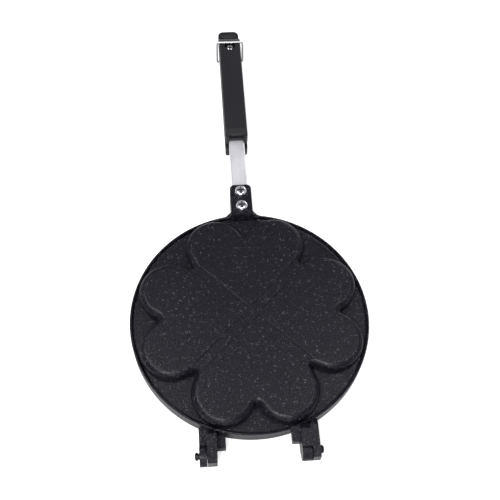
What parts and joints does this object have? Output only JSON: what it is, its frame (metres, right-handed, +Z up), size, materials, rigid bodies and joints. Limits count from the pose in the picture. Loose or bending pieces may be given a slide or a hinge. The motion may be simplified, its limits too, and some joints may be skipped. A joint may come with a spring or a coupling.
{
  "type": "clover waffle iron",
  "caption": "Round stove-top waffle iron with a clover of heart moulds, hinged cast halves, channel shanks, moulded grips and a wire latch.",
  "frame": {"origin": "Middle of the lower clover's outer face, on which the closed iron rests.", "axes": "+Y from the hinge to the grips, +X to the right seen from above with the grips ahead, +Z up."},
  "size_m": [0.19, 0.4295, 0.0289],
  "materials": {
    "nonstick_casting": "cast aluminium with a black speckled non-stick coat",
    "shank_steel": "plated sheet steel",
    "grip_phenolic": "satin black phenolic moulding",
    "screw_steel": "bright nickel plate",
    "fixing_steel": "zinc plate",
    "pin_steel": "dark oiled steel",
    "bail_wire": "plated spring wire"
  },
  "bodies": {
    "upper_half": {"upper_plate": "nonstick_casting", "upper_shank": "shank_steel", "upper_grip": "grip_phenolic", "upper_lug_screw_1": "screw_steel", "upper_lug_screw_2": "screw_steel", "upper_lug_washer_1": "fixing_steel", "upper_lug_washer_2": "fixing_steel", "upper_lug_nut_1": "fixing_steel", "upper_lug_nut_2": "fixing_steel", "upper_grip_screw": "screw_steel", "upper_grip_nut": "fixing_steel", "upper_hinge_pin": "pin_steel"},
    "lower_half": {"lower_plate": "nonstick_casting", "lower_shank": "shank_steel", "lower_grip": "grip_phenolic", "lower_lug_screw_1": "screw_steel", "lower_lug_screw_2": "screw_steel", "lower_lug_washer_1": "fixing_steel", "lower_lug_washer_2": "fixing_steel", "lower_lug_nut_1": "fixing_steel", "lower_lug_nut_2": "fixing_steel", "lower_grip_screw": "screw_steel", "lower_grip_nut": "fixing_steel", "lower_hinge_pin": "pin_steel"},
    "bail": {"latch_bail": "bail_wire"}
  },
  "joints": [
    {"name": "lid_hinge", "type": "hinge", "parent": "lower_half", "child": "upper_half", "pos_m": [0, -0.1065, 0.0135], "axis": [1, 0, 0], "range_deg": [0, 100]},
    {"name": "bail_pivot", "type": "hinge", "parent": "lower_half", "child": "bail", "pos_m": [0, 0.281, 0.0053], "axis": [-1, 0, 0], "range_deg": [0, 60]}
  ]
}
